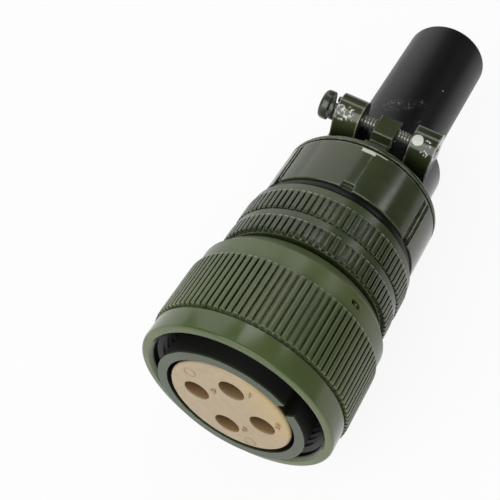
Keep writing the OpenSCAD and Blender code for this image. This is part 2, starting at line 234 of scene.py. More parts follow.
def finish(piece, material, body, slot, *nodes, smooth=25):
    # brings a shaped piece to its real size and hands it to the frame
    only(piece)
    piece.scale = (mm, mm, mm)
    bpy.ops.object.transform_apply(location=True, rotation=True, scale=True)
    bpy.ops.object.shade_smooth_by_angle(angle=math.radians(smooth))
    modify(piece, "WEIGHTED_NORMAL", keep_sharp=True, weight=80)
    piece.data.materials.clear()
    piece.data.materials.append(material)
    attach(piece, body)
    if nodes:
        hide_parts(*nodes)
    return piece


class Wire:
    # a socket that takes part in sums: mask * 0.5 + 0.2, 1 - mask, a > b

    def __init__(self, tree, socket):
        self.tree, self.socket = tree, socket

    def combine(self, operation, first, second, clamp=False):
        node = self.tree.nodes.new("ShaderNodeMath")
        node.operation, node.use_clamp = operation, clamp
        for slot, value in zip(node.inputs, (first, second)):
            if isinstance(value, Wire):
                self.tree.links.new(value.socket, slot)
            else:
                slot.default_value = value
        return Wire(self.tree, node.outputs[0])

    def single(self, operation):
        return self.combine(operation, self, 0.0)

    def __add__(self, other):
        return self.combine("ADD", self, other)

    def __sub__(self, other):
        return self.combine("SUBTRACT", self, other)

    def __rsub__(self, other):
        return self.combine("SUBTRACT", other, self)

    def __mul__(self, other):
        return self.combine("MULTIPLY", self, other)

    def __pow__(self, other):
        return self.combine("POWER", self, other)

    def __lt__(self, other):
        return self.combine("LESS_THAN", self, other)

    def __or__(self, other):
        return self.combine("MAXIMUM", self, other)

    def __and__(self, other):
        return self.combine("MINIMUM", self, other)

    def clamped(self):
        return self.combine("ADD", self, 0, clamp=True)

    __radd__, __rmul__ = __add__, __mul__


def linear(hexColour):
    # a colour as it is written in hex, as the shader wants it
    parts = [int(hexColour[i:i + 2], 16) / 255 for i in (1, 3, 5)]
    return [c / 12.92 if c <= 0.04045 else ((c + 0.055) / 1.055) ** 2.4 for c in parts] + [1]


class Graph:
    # a node tree that is built up node by node

    def __init__(self, tree):
        self.tree = tree

    def add(self, kind, settings=None, inputs=None, output=0):
        node = self.tree.nodes.new(kind)
        for key, value in (settings or {}).items():
            setattr(node, key, value)
        for key, value in (inputs or {}).items():
            self.feed(node.inputs[key], value)
        return Wire(self.tree, node.outputs[output])

    def feed(self, socket, value):
        if isinstance(value, Wire):
            self.tree.links.new(value.socket, socket)
        else:
            socket.default_value = value

    def step(self, value, low, high, smooth=False):
        # runs from 0 at low to 1 at high
        kind = "SMOOTHSTEP" if smooth else "LINEAR"
        return self.add("ShaderNodeMapRange", {"clamp": True, "interpolation_type": kind}, {
            "Value": value, "From Min": low, "From Max": high, "To Min": 0.0, "To Max": 1.0})


class Finish(Graph):
    # one procedural material, built on Object coordinates

    def __init__(self, name):
        self.material = bpy.data.materials.new(name)
        self.material.use_nodes = True
        super().__init__(self.material.node_tree)
        self.shader = self.tree.nodes["Principled BSDF"]
        self.place = self.add("ShaderNodeTexCoord", output="Object")
        self.x, self.y, self.z = [
            self.add("ShaderNodeSeparateXYZ", None, {0: self.place}, axis) for axis in ("X", "Y", "Z")]

    def noise(self, scale, detail, rough=0.55, stretch=(1, 1, 1), distortion=0.0):
        where = self.add("ShaderNodeMapping", inputs={0: self.place, "Scale": stretch})
        return self.add("ShaderNodeTexNoise", inputs={
            "Vector": where, "Scale": scale / mm, "Detail": detail, "Roughness": rough,
            "Distortion": distortion})

    def mix(self, amount, first, second):
        return self.add("ShaderNodeMix", {"data_type": "RGBA"}, {0: amount, 6: first, 7: second}, 2)

    def away(self, spot):
        # distance in metres from a spot that is given in millimetres
        return self.add("ShaderNodeVectorMath", {"operation": "DISTANCE"}, {
            0: self.place, 1: [c * mm for c in spot]}, "Value")

    def patch(self, spot, size, wobble):
        # a ragged spot: 1 inside, 0 outside
        ragged = self.away(spot) + (self.noise(1.2, 4) - 0.5) * (size * wobble * mm * 2)
        return 1 - self.step(ragged, size * 0.85 * mm, size * mm)

    def chip(self, spot, size, ragged, sparse=0.0):
        # a ragged box of bare metal about a spot; sparse breaks it up
        ragged = (self.noise(1.2, 5, 0.65) - 0.5) * (2 * ragged * mm)
        across, along, up = [
            1 - self.step(self.apart(socket, middle) + ragged, (reach - 0.08) * mm, (reach + 0.08) * mm)
            for socket, middle, reach in zip((self.x, self.y, self.z), spot, size)]
        inside = across & along & up
        if sparse:
            inside = inside & self.step(self.noise(1.3, 5, 0.6), 0.44 + sparse * 0.2, 0.5 + sparse * 0.2)
        return inside

    def apart(self, socket, middle):
        off = socket - middle * mm
        return off.single("ABSOLUTE")

    def edges(self, width):
        # 1 on sharp outer edges, 0 on open faces
        rounded = self.add("ShaderNodeBevel", {"samples": 6}, {"Radius": width * mm})
        flat = self.add("ShaderNodeNewGeometry", output="Normal")
        same = self.add("ShaderNodeVectorMath", {"operation": "DOT_PRODUCT"}, {0: rounded, 1: flat}, "Value")
        return self.step(same, 0.985, 0.80)

    def recess(self, reach):
        # 1 deep in grooves and corners of the piece itself, 0 on open faces
        openness = self.add("ShaderNodeAmbientOcclusion", {"samples": 5, "only_local": True}, {
            "Distance": reach * mm}, "AO")
        return self.step(openness, 0.8, 0.3)

    def bump(self, height, strength, distance):
        return self.add("ShaderNodeBump", None, {
            "Strength": strength, "Distance": distance * mm, "Height": height})

    def send(self, **sockets):
        for key, value in sockets.items():
            self.feed(self.shader.inputs[key.replace("_", " ")], value)
        return self.material


# inside and grime are near-black colours for painted shade; the pale edge colour paints edge wear and edge
# highlights together
oliveLook = {
    "wearAndHighlight": "#a9ac9e", "chip": "#c4c5bc", "inside": "#0c0e0a", "grime": "#0b0e07", "orangePeel": 0.08,
}


def worst(*masks):
    whole = masks[0]
    for mask in masks[1:]:
        whole = whole | mask
    return whole


def olivePaint(name, colours, wearAndHighlight=0.55, roughness=0.24, edgeWidth=0.14, recess=0.8, inside=None,
               specks=0.0, gloss=None, shaded=None, chips=(), highlightSpots=()):
    look = Finish(name)
    main, deep, warm = [linear(c) for c in colours]
    base = look.mix(look.step(look.noise(0.09, 3), 0.35, 0.7), deep, main)
    base = look.mix(look.step(look.noise(0.035, 2), 0.5, 0.75) * 0.45, base, warm)
    rough = (look.noise(0.5, 5) - 0.5) * 0.14 + roughness
    if gloss:
        # a stretch along the plug where the paint is smoother
        rough = rough - look.step(look.x, gloss["end"] * mm, (gloss["end"] - 0.3) * mm) * gloss["by"]
    if recess:
        # painted shade: grooves and corners darken towards the near-black shade colour
        base = look.mix(look.recess(recess) * 0.8, base, linear(oliveLook["grime"]))
    if shaded:
        # painted shade: the paint darkens towards the middle of the clamp, where shadow falls
        low = look.step(look.apart(look.z, 0), shaded["to"] * mm, shaded["from"] * mm, True)
        base = look.mix(low * 0.75, base, linear(oliveLook["grime"]))
    # edges are lightened for rubbed paint and, with it, for painted edge highlights
    rubbedAndHighlit = look.edges(edgeWidth) * look.step(look.noise(0.7, 4), 0.3, 0.6) * wearAndHighlight
    base = look.mix(rubbedAndHighlit, base, linear(oliveLook["wearAndHighlight"]))
    if inside:
        # painted shade: the hollow behind the mouth is darkened as if unlit
        across = (look.y ** 2 + look.z ** 2) ** 0.5
        unlitHollow = look.step(across, inside["r"] * mm, (inside["r"] - 0.15) * mm)
        unlitHollow = unlitHollow & look.step(look.x, inside["x"] * mm, (inside["x"] + 0.3) * mm)
        base = look.mix(unlitHollow, base, linear(oliveLook["inside"]))
        rough = rough + unlitHollow * 0.2
    # chips and dust specks are bare metal; the spots are painted highlights in the same pale colour
    bareAndHighlight = [look.chip(**chip) for chip in chips] + [look.patch(*spot) for spot in highlightSpots]
    if specks:
        bareAndHighlight.append(look.step(look.noise(1.5, 1), 0.86 - specks, 0.88 - specks))
    if bareAndHighlight:
        base = look.mix(worst(*bareAndHighlight), base, linear(oliveLook["chip"]))
        rough = rough + worst(*bareAndHighlight) * 0.25
    peel = look.noise(1.6, 2) + look.noise(6.0, 2) * 0.3
    return look.send(Base_Color=base, Roughness=rough, Normal=look.bump(peel, oliveLook["orangePeel"], 0.03))


def tanMoulding(name, holes, faceX, sideR):
    look = Finish(name)
    grain = look.noise(0.5, 5)
    base = look.mix(look.step(grain, 0.3, 0.7), linear("#9c896c"), linear("#a6957a"))
    yellow = look.step(look.y * -0.6 + look.z * 0.5, 0.003, 0.0085)
    base = look.mix(yellow * 0.5, base, linear("#b39a62"))
    marked = look.step(look.x, (faceX - 0.03) * mm, (faceX - 0.1) * mm)
    base = look.mix(marked * 0.75, base, linear("#8d6c43"))
    behind = look.step(look.x, (faceX + 0.15) * mm, (faceX + 0.5) * mm)
    depth = look.step(look.x, (faceX + 0.3) * mm, (faceX + 3.2) * mm)
    mouths = []
    for y, z in holes:
        across = ((look.y - y * mm) ** 2 + (look.z - z * mm) ** 2) ** 0.5
        mouths.append(across < 2.8 * mm)
    inHole = worst(*mouths)
    # painted shade: the contact holes darken from a browner mouth to near black further in
    base = look.mix(inHole * behind * 0.8, base, linear("#86663c"))
    base = look.mix(inHole * depth, base, linear("#2c1e10"))
    # painted shadow: the rim under the rounded edge is darkened as if in shadow
    across = (look.y ** 2 + look.z ** 2) ** 0.5
    side = look.step(across, (sideR - 0.25) * mm, (sideR - 0.02) * mm)
    side = side * look.step(look.x, (faceX + 0.35) * mm, (faceX + 0.8) * mm)
    base = look.mix(side * 0.97, base, linear("#0f0b06"))
    return look.send(Base_Color=base, Roughness=0.4 + (grain - 0.5) * 0.12,
                     Normal=look.bump(look.noise(2.5, 3), 0.15, 0.02))


def blackRubber(name, dust=(), specks=(), colour="#080a08", roughness=0.36):
    look = Finish(name)
    base = look.mix(look.step(look.noise(0.12, 4), 0.4, 0.8), linear(colour), linear("#0e110e"))
    rough = roughness + (look.noise(0.8, 4) - 0.5) * 0.15
    marks = []
    for spot, size, amount in dust:
        # thin broken scratches that fade out from the middle of each patch
        wander = (look.noise(0.9, 4, 0.6, distortion=0.6) - 0.5).single("ABSOLUTE")
        lines = 1 - look.step(wander, 0.004, 0.016)
        broken = look.step(look.noise(0.8, 5, 0.7), 0.46, 0.54)
        marks.append(lines * broken * (1 - look.step(look.away(spot), 0.6 * size * mm, size * mm)) * amount)
    for spot, size in specks:
        marks.append(1 - look.step(look.away(spot), size * 0.7 * mm, size * mm))
    if marks:
        base = look.mix(worst(*marks), base, linear("#9aa199"))
        rough = rough + worst(*marks) * 0.4
    look.send(Specular_IOR_Level=0.22)
    return look.send(Base_Color=base, Roughness=rough, Normal=look.bump(look.noise(1.5, 4), 0.12, 0.03))


def plainMetal(name, colour, roughness=0.3, brushed=2.0):
    look = Finish(name)
    lines = look.noise(brushed, 4, 0.6, (0.25, 1, 1))
    base = look.mix(look.step(lines, 0.3, 0.7), linear(colour), [c * 0.72 for c in linear(colour)[:3]] + [1])
    look.send(Metallic=1.0)
    return look.send(Base_Color=base, Roughness=roughness + (lines - 0.5) * 0.15,
                     Normal=look.bump(lines, 0.1, 0.01))


def platedSteel(name, headX=None):
    # dark olive plating on the head, rubbed bright on the thread and edges, which also paints in their glints
    look = Finish(name)
    grime = look.step(look.noise(0.9, 5), 0.35, 0.65)
    rubbedAndHighlit = look.edges(0.12) * 0.7
    if headX:
        rubbedAndHighlit = rubbedAndHighlit | (1 - look.step(look.apart(look.y, 0), (headX - 0.1) * mm, headX * mm)) * 0.5
    base = look.mix((rubbedAndHighlit + grime * 0.1).clamped(), linear("#2b3022"), linear("#b4b6ac"))
    look.send(Metallic=rubbedAndHighlit * 0.7 + 0.25)
    return look.send(Base_Color=base, Roughness=0.3 - grime * 0.08,
                     Normal=look.bump(look.noise(3, 3), 0.12, 0.02))


print("finishes")
nutGreen = ("#535f38", "#47542f", "#5c5d34")
shellGreen = ("#3c4731", "#323c28", "#404632")
bellGreen = ("#3f4a2b", "#303a20", "#4a4a2a")
darkOlive = ("#364125", "#29321c", "#403f24")
# the inside settings paint shade into the hollows of the nut and the shell
nutPaint = olivePaint("nutPaint", nutGreen, roughness=0.3, wearAndHighlight=0.5, specks=0.02,
                      inside={"r": 18.0, "x": 0.35}, gloss={"end": 5.0, "by": 0.12})
shellPaint = olivePaint("shellPaint", shellGreen, roughness=0.3, inside={"r": 15.6, "x": -1.6}, wearAndHighlight=0.8)
bellPaint = olivePaint("bellPaint", bellGreen, wearAndHighlight=0.7)
clampPaint = olivePaint("clampPaint", darkOlive, roughness=0.18, wearAndHighlight=0.8, edgeWidth=0.4, chips=[
    {"spot": (52.15, 0, 17.2), "size": (0.45, 1.45, 1), "ragged": 0.2},
    {"spot": (52.5, -2.6, 17.0), "size": (0.1, 1.3, 1), "ragged": 0.12},
])
saddlePaintA = olivePaint("saddlePaintA", darkOlive, wearAndHighlight=0.9, edgeWidth=0.7, recess=1.5, roughness=0.16,
                          shaded={"from": 9, "to": 14}, chips=[
    {"spot": (60.6, 9.1, 15.6), "size": (1.1, 2.1, 1.6), "ragged": 0.9, "sparse": 0.35},
])
# saddle B's boss carries a painted highlight spot beside its chips
saddlePaintB = olivePaint("saddlePaintB", darkOlive, wearAndHighlight=0.9, edgeWidth=0.7, recess=1.5, roughness=0.16,
                          shaded={"from": 9, "to": 14}, highlightSpots=[((61.2, -6.9, 16.15), 1.25, 0.12)], chips=[
    {"spot": (60.6, -9.1, 15.6), "size": (1.2, 0.8, 1.4), "ragged": 0.7, "sparse": 0.5},
])
screwSteel = platedSteel("screwSteel", headX=12.9)
washerSteel = platedSteel("washerSteel")
springSteel = plainMetal("springSteel", "#8f9296", 0.32)
washerMetal = plainMetal("washerMetal", "#a4a7a8", 0.35)
contactSilver = plainMetal("contactSilver", "#c9c4b0", 0.28)
sealRubber = blackRubber("sealRubber", colour="#08090a", roughness=0.3)
bushingRubber = blackRubber("bushingRubber", dust=[
    ((74.6, 2.9, 8.9), 2.6, 0.9), ((76.3, 0.4, 9.4), 2.0, 0.8), ((78.5, -2.4, 9.1), 1.6, 0.35),
    ((73.0, -4.4, 8.3), 1.5, 0.4),
], specks=[((85.7, -4.8, 8.1), 0.22)])


print("coupling nut")
nutLow, nutHigh = boxOf("coupling_nut")
nut = {
    "length": nutHigh.x, "crest": nutHigh.z, "mouth": 18.15, "rimLand": 1.1,
    "collar": 19.75, "collarEnd": 4.4, "stepFloor": 19.15, "fluteStart": 5.1, "fluteEnd": 17.3,
    "flutes": 96, "band": 19.63, "bevelStart": 21.7,
    "bevelEnd": 18.08, "threadBore": 17.46, "threadTip": 16.62, "threadPitch": 1.411, "ringStart": 13.0,
    "ringEnd": 14.2, "ringFloor": 18.16, "shoulder": 17.1, "neckBore": 16.09,
    "lock": {"x": 20.1, "angle": 39, "width": 1.1, "length": 2.4, "depth": 1.4, "pin": 0.36},
}


def makeNut():
    n = nut
    body = turned("couplingNut", [
        (0.7, n["threadBore"]), (0, n["mouth"]), (0, n["mouth"] + n["rimLand"]),
        (0.15, n["collar"] - 0.15), (0.5, n["collar"]), (n["collarEnd"], n["collar"]),
        (n["collarEnd"] + 0.1, n["stepFloor"]), (n["fluteStart"], n["stepFloor"]),
        (n["fluteStart"] + 0.3, n["band"] - 0.05), (n["fluteEnd"], n["band"] - 0.05),
        (n["fluteEnd"], n["band"]), (n["bevelStart"], n["band"]), (n["length"] - 0.3, n["bevelEnd"]),
        (n["length"], n["bevelEnd"] - 0.3), (n["length"], n["neckBore"]), (n["shoulder"], n["neckBore"]),
        (n["shoulder"], n["threadBore"]), (n["ringEnd"], n["threadBore"]), (n["ringEnd"], n["ringFloor"]),
        (n["ringStart"], n["ringFloor"]), (n["ringStart"], n["threadBore"]),
    ], 192)
    lock = n["lock"]
    reach = (lock["length"] - lock["width"]) / 2
    floor = n["band"] - lock["depth"]
    half = lock["width"] / 2
    slot = block((lock["x"] - half, -reach, floor), (lock["x"] + half, reach, floor + 3))
    for side in (-1, 1):
        cut(slot, rod((lock["x"], side * reach, floor), 3, half, "Z", 24), "UNION")
    cut(body, swung(slot, lock["angle"]))
    softEdges(body, 0.08)
    pin = rod((lock["x"], -0.1, floor - 0.3), lock["depth"] + 0.15, lock["pin"], "Z", 24)
    softEdges(pin, 0.15, 2)
    swung(pin, lock["angle"])
    flutes = toothRing("flutes", {
        "count": n["flutes"], "crest": n["crest"] - 0.01, "root": n["band"], "sunk": 0.5, "share": 0.69,
        "start": n["fluteStart"], "end": n["fluteEnd"] + 0.05, "startSlope": 0.5, "endSlope": 0.25,
        "round": 0.4,
    })
    thread = helix("nutThread", {
        "pitch": n["threadPitch"], "root": n["threadBore"] + 0.05, "tip": n["threadTip"],
        "start": 1.0, "end": n["ringStart"] - 0.3,
    }, steps=96)
    return joined("couplingNut", [body, flutes, thread, pin])


finish(makeNut(), nutPaint, "nut", "nut_paint", "coupling_nut")


print("front shell")
shellLow, shellHigh = boxOf("front_shell")
shell = {
    "front": shellLow.x, "back": shellHigh.x, "barrel": 15.0, "bore": 13.1, "flange": 14.6, "neck": 16.8,
    "flangeR": 17.06, "neckR": 16.0, "neckEnd": 25.2, "threadR": 15.2, "cavity": 13.6, "keyAngle": 46.5,
    "keyWidth": 2.9, "keyEnd": 7.2, "ridge": (5.4, 7.0, 12.6), "groove": (22.4, 23.6, 14.3),
}


def makeShell():
    s = shell
    (ridgeStart, ridgeEnd, ridgeR), (grooveStart, grooveEnd, grooveR) = s["ridge"], s["groove"]
    body = turned("frontShell", [
        (s["front"], s["bore"]), (s["front"], s["barrel"]), (s["flange"], s["barrel"]),
        (s["flange"], s["flangeR"]), (s["neck"], s["flangeR"]), (s["neck"], s["neckR"]),
        (s["neckEnd"], s["neckR"]), (s["neckEnd"], s["threadR"]), (s["back"], s["threadR"]),
        (s["back"], s["cavity"]), (grooveEnd, s["cavity"]), (grooveEnd, grooveR), (grooveStart, grooveR),
        (grooveStart, s["cavity"]), (ridgeEnd, s["cavity"]), (ridgeEnd, ridgeR), (ridgeStart, ridgeR),
        (ridgeStart, s["bore"]),
    ])
    half = s["keyWidth"] / 2
    key = block((s["front"] - 1, -half, s["bore"] - 1), (s["keyEnd"], half, s["barrel"] + 1))
    cut(body, swung(key, s["keyAngle"]))
    softEdges(body, 0.16, 3)
    return body


finish(makeShell(), shellPaint, "plug", "shell_paint", "front_shell")

print("insert")
insertLow, insertHigh = boxOf("front_insert")
insert = {
    "front": insertLow.x, "back": insertHigh.x, "r": 12.35, "seat": 7.0, "seatR": 13.5, "edge": 0.6,
    "ring": 6.75, "holeR": 2.55, "holeDepth": 12.1, "collarR": 3.07, "letterUp": 0.18, "letterSize": 2.3,
}
holeSpots = [(0, insert["ring"]), (-insert["ring"], 0), (0, -insert["ring"]), (insert["ring"], 0)]


def raisedNumber(text, y, z):
    # plain raised figure on the insert's face, read from the front
    bpy.ops.object.select_all(action="DESELECT")
    bpy.ops.object.text_add()
    figure = bpy.context.object
    figure.data.body = text
    figure.data.size = insert["letterSize"]
    figure.data.extrude = insert["letterUp"]
    figure.data.bevel_depth = 0.03
    figure.data.align_x = figure.data.align_y = "CENTER"
    bpy.ops.object.convert(target="MESH")
    figure.matrix_world = Matrix.Translation((insert["front"], y, z)) @ Matrix((
        (0, 0, -1, 0), (-1, 0, 0, 0), (0, 1, 0, 0), (0, 0, 0, 1)))
    only(figure)
    bpy.ops.object.transform_apply(location=True, rotation=True, scale=True)
    return figure


def raisedRing(y, z, r):
    bpy.ops.object.select_all(action="DESELECT")
    bpy.ops.mesh.primitive_torus_add(location=(insert["front"], y, z), rotation=(0, math.pi / 2, 0),
                                     major_radius=r, minor_radius=0.1, major_segments=40, minor_segments=8)
    bpy.ops.object.transform_apply(location=True, rotation=True, scale=True)
    return bpy.context.object


def makeInsert():
    i = insert
    body = rod((i["front"], 0, 0), i["back"] - i["front"], i["seatR"], sides=144)
    edit(body)
    pick(body, "FACE", lambda v: abs(v.x - i["front"]) < 1e-4)
    bpy.ops.transform.translate(value=(i["seat"] - i["front"], 0, 0))
    bpy.ops.mesh.inset(thickness=i["seatR"] - i["r"])
    bpy.ops.mesh.extrude_region_move(TRANSFORM_OT_translate={"value": (i["front"] - i["seat"], 0, 0)})
    pick(body, "EDGE", lambda v: abs(v.x - i["front"]) < 1e-4)
    bpy.ops.mesh.bevel(offset=i["edge"], segments=5, profile=0.5, affect="EDGES")
    bpy.ops.mesh.select_all(action="SELECT")
    bpy.ops.mesh.normals_make_consistent(inside=False)
    done()
    for y, z in holeSpots:
        cut(body, rod((i["front"] - 1, y, z), i["back"] - i["front"] + 2, i["holeR"], sides=56))
        cut(body, rod((i["holeDepth"], y, z), 2, i["collarR"], sides=56))
    softEdges(body, 0.14, 2, 50)
    marks = [raisedNumber(str(k + 1), *spot) for k, spot in enumerate(
        [(-3.5, 8.7), (-9.6, 3.0), (-3.6, -5.2), (3.4, 3.4)])]
    rings = [raisedRing(8.3, 5.6, 1.15), raisedRing(-5.0, -9.0, 1.15)]
    return joined("frontInsert", [body] + marks + rings)


insertTan = tanMoulding("insertTan", holeSpots, insert["front"], insert["r"])
finish(makeInsert(), insertTan, "plug", "insert_plastic", "front_insert")


print("backshell")
bellLow, bellHigh = boxOf("backshell")
bell = {
    "front": bellLow.x, "end": bellHigh.x, "crest": bellHigh.z, "root": 17.6, "teeth": 84, "bore": 15.3,
    "row1": (25.85, 29.6), "midEnd": 31.55, "midR": 18.02, "grooveR": 17.3, "row2": (31.75, 36.55),
    "tailR": 17.95, "tailEnd": 39.35, "spigot": 15.08, "spigotBore": 13.08, "wall": 33.3, "cavity": 13.6,
}


def makeBell():
    b = bell
    body = turned("backshell", [
        (b["front"], b["bore"]), (b["front"], b["root"] - 0.5), (b["row1"][0] + 0.3, b["root"]),
        (b["row1"][1], b["root"]), (b["row1"][1] + 0.05, b["midR"]), (b["midEnd"], b["midR"]),
        (b["midEnd"] + 0.05, b["grooveR"]), (b["row2"][0], b["grooveR"]), (b["row2"][0] + 0.1, b["root"]),
        (b["row2"][1], b["root"]), (b["row2"][1] + 0.05, b["tailR"]), (b["tailEnd"] - 0.7, b["tailR"]),
        (b["tailEnd"] - 0.2, b["tailR"] - 0.35), (b["tailEnd"], b["tailR"] - 0.75),
        (b["tailEnd"], b["spigot"]), (b["end"], b["spigot"]), (b["end"], b["spigotBore"]),
        (b["wall"] + 1.6, b["spigotBore"]), (b["wall"], b["cavity"]), (b["wall"], b["bore"]),
    ], 168)
    softEdges(body, 0.09)
    tooth = {"count": b["teeth"], "crest": b["crest"] - 0.01, "root": b["root"], "sunk": 0.4, "share": 0.64,
             "startSlope": 0.62, "endSlope": 0.2, "round": 0.35}
    row1 = toothRing("row1", {**tooth, "start": b["row1"][0], "end": b["row1"][1] + 0.1})
    row2 = toothRing("row2", {**tooth, "start": b["row2"][0], "end": b["row2"][1] + 0.1})
    return joined("backshellTurned", [body, row1, row2])


finish(makeBell(), bellPaint, "plug", "backshell_paint", "backshell")


print("rubber")
sealLow, sealHigh = boxOf("sealing_ring")
bootLow, bootHigh = boxOf("rubber_bushing")
clampLow, clampHigh = boxOf("clamp_body")
seal = {"front": sealLow.x, "back": sealHigh.x, "r": sealHigh.z, "bore": 15.18}
boot = {
    "front": bootLow.x, "end": bootHigh.x, "r": 9.4, "bore": 7.9, "flangeR": bootHigh.z, "flangeEnd": 52.85,
}


def makeSeal():
    middle = (seal["front"] + seal["back"]) / 2
    return turned("sealingRing", [
        (seal["front"], seal["bore"]), (seal["front"], seal["r"] - 0.5),
        (seal["front"] + 0.2, seal["r"] - 0.15),
        (middle - 0.3, seal["r"]), (middle, seal["r"] - 0.12), (middle + 0.3, seal["r"]),
        (seal["back"] - 0.2, seal["r"] - 0.15), (seal["back"], seal["r"] - 0.5), (seal["back"], seal["bore"]),
    ])


def makeBoot():
    body = turned("rubberBushing", [
        (boot["front"], boot["bore"]), (boot["front"], boot["flangeR"]), (boot["flangeEnd"], boot["flangeR"]),
        (boot["flangeEnd"], boot["r"]), (60, boot["r"]), (63.25, boot["r"] - 0.03), (70, boot["r"]),
        (85, boot["r"]), (boot["end"], boot["r"]), (boot["end"], boot["bore"]),
    ], 96)
    softEdges(body, 0.4, 3)
    return body


finish(makeSeal(), sealRubber, "plug", "seal_rubber", "sealing_ring", smooth=50)
finish(makeBoot(), bushingRubber, "plug", "bushing_rubber", "rubber_bushing")


print("clamp")
clamp = {
    "front": clampLow.x, "back": 54.55, "r": 17.2, "bore": 15.18, "undercut": (52.8, 53.4), "undercutR": 16.0,
    "holeR": 9.7, "endWall": 1.7, "grooves": (55, 125, 235, 305), "notches": (0, 55, 125, 180, 235, 305),
    "grooveWidth": 2.4, "grooveDepth": 0.6, "rib": 0.4, "notchWidth": 2.6, "notchLength": 1.5,
    "notchDepth": 1.1, "postWidth": 4.6, "ledge": (54.0, 56.15, 15.95), "neck": (53.7, 60.65, 12.5),
    "head": (59.65, 65.25, 15.0), "headBehind": 2.0, "screwHole": 1.5, "seamAngle": 3.4,
}
screwX = clampHigh.x - clamp["headBehind"]
screwZ = 13.0


def makeClamp():
    c = clamp
    u0, u1 = c["undercut"]
    body = turned("clampBody", [
        (c["front"], c["bore"]), (c["front"], c["r"] - 0.12), (c["front"] + 0.12, c["r"]), (u0, c["r"]),
        (u0, c["undercutR"]), (u1, c["undercutR"]), (u1, c["r"]), (c["back"] - 0.45, c["r"]),
        (c["back"] - 0.12, c["r"] - 0.15), (c["back"], c["r"] - 0.5), (c["back"], c["holeR"]),
        (c["back"] - c["endWall"], c["holeR"]), (c["back"] - c["endWall"], c["bore"]),
    ], 180)
    for angle in c["grooves"]:
        for side in (-1, 1):
            inner, outer = sorted((side * c["rib"] / 2, side * c["grooveWidth"] / 2))
            slot = block((c["front"] + c["notchLength"], inner, c["r"] - c["grooveDepth"]),
                         (u0 - 0.35, outer, c["r"] + 1))
            cut(body, swung(slot, -angle))
    for angle in c["notches"]:
        width = c["notchWidth"] if angle % 180 == 0 else c["grooveWidth"]
        notch = block((c["front"] - 1, -width / 2, c["r"] - c["notchDepth"]),
                      (c["front"] + c["notchLength"], width / 2, c["r"] + 1))
        cut(body, swung(notch, -angle))
    for angle in (c["seamAngle"], c["seamAngle"] + 180):
        seam = block((c["front"] + 0.6, -0.07, c["r"] - 0.06), (u0 - 0.3, 0.07, c["r"] + 1))
        cut(body, swung(seam, angle))
    softEdges(body, 0.1, 2)
    posts = []
    half = c["postWidth"] / 2
    for side in (1, -1):
        for x0, x1, height in (c["ledge"], c["neck"], c["head"]):
            z0, z1 = sorted((side * c["holeR"], side * height))
            part = block((x0, -half, z0), (x1, half, z1))
            if (x0, x1, height) == c["head"]:
                cut(part, rod((screwX, -half - 1, side * screwZ), 2 * half + 2, c["screwHole"], "Y"))
            softEdges(part, 0.3, 3)
            posts.append(part)
    return joined("clampBodyTurned", [body] + posts)


finish(makeClamp(), clampPaint, "plug", "clamp_paint", "clamp_body")


print("saddles")
saddle = {
    "lugIn": 5.6, "lugOut": 11.0, "lugR": 3.8, "bowIn": 9.7, "bowOut": 13.2, "holeR": 1.5, "edge": 1.05,
}


def makeSaddle(side):
    s = saddle
    wide = s["lugR"]
    reach = screwZ + s["lugR"]
    lug = block((screwX - wide, s["lugIn"], -reach), (screwX + wide, s["lugOut"], reach))
    bow = rod((screwX - wide, 0, 0), 2 * wide, s["bowOut"], sides=128)
    outerHalf = block((screwX - wide - 1, s["lugIn"], -reach), (screwX + wide + 1, s["bowOut"] + 1, reach))
    cut(bow, outerHalf, "INTERSECT")
    cut(lug, bow, "UNION")
    cut(lug, rod((screwX - wide - 1, 0, 0), 2 * wide + 2, s["bowIn"], sides=128))
    outline = block((screwX - wide, 0, -screwZ), (screwX + wide, s["bowOut"] + 1, screwZ))
    for end in (-1, 1):
        cut(outline, rod((screwX, 0, end * screwZ), s["bowOut"] + 1, wide, "Y", 64), "UNION")
    cut(lug, outline, "INTERSECT")
    softEdges(lug, s["edge"], 4, 40)
    for end in (-1, 1):
        cut(lug, rod((screwX, 0, end * screwZ), s["bowOut"] + 2, s["holeR"], "Y"))
    softEdges(lug, 0.22, 2, 60)
    if side < 0:
        only(lug)
        lug.matrix_world = Matrix.Diagonal((1, -1, 1, 1))
        bpy.ops.object.transform_apply(location=True, rotation=True, scale=True)
        edit(lug)
        bpy.ops.mesh.select_all(action="SELECT")
        bpy.ops.mesh.normals_make_consistent(inside=False)
        done()
    return lug


saddleA = makeSaddle(1)
saddleA.name = "saddleACast"
saddleB = makeSaddle(-1)
saddleB.name = "saddleBCast"
finish(saddleA, saddlePaintA, "saddle_a", "saddle_paint", "saddle_a")
finish(saddleB, saddlePaintB, "saddle_b", "saddle_paint", "saddle_b")


print("screws")
screw = {
    "r": 1.42, "root": 1.04, "pitch": 0.635, "headR": 3.1, "headT": 2.0, "under": 12.9, "tip": -11.2,
    "slotWidth": 0.8, "slotDepth": 0.9, "slotAngle": 35, "washerIn": 1.57, "washerOut": 2.62, "wire": 0.9,
    "rise": 1.0, "washerTurn": 346,
}


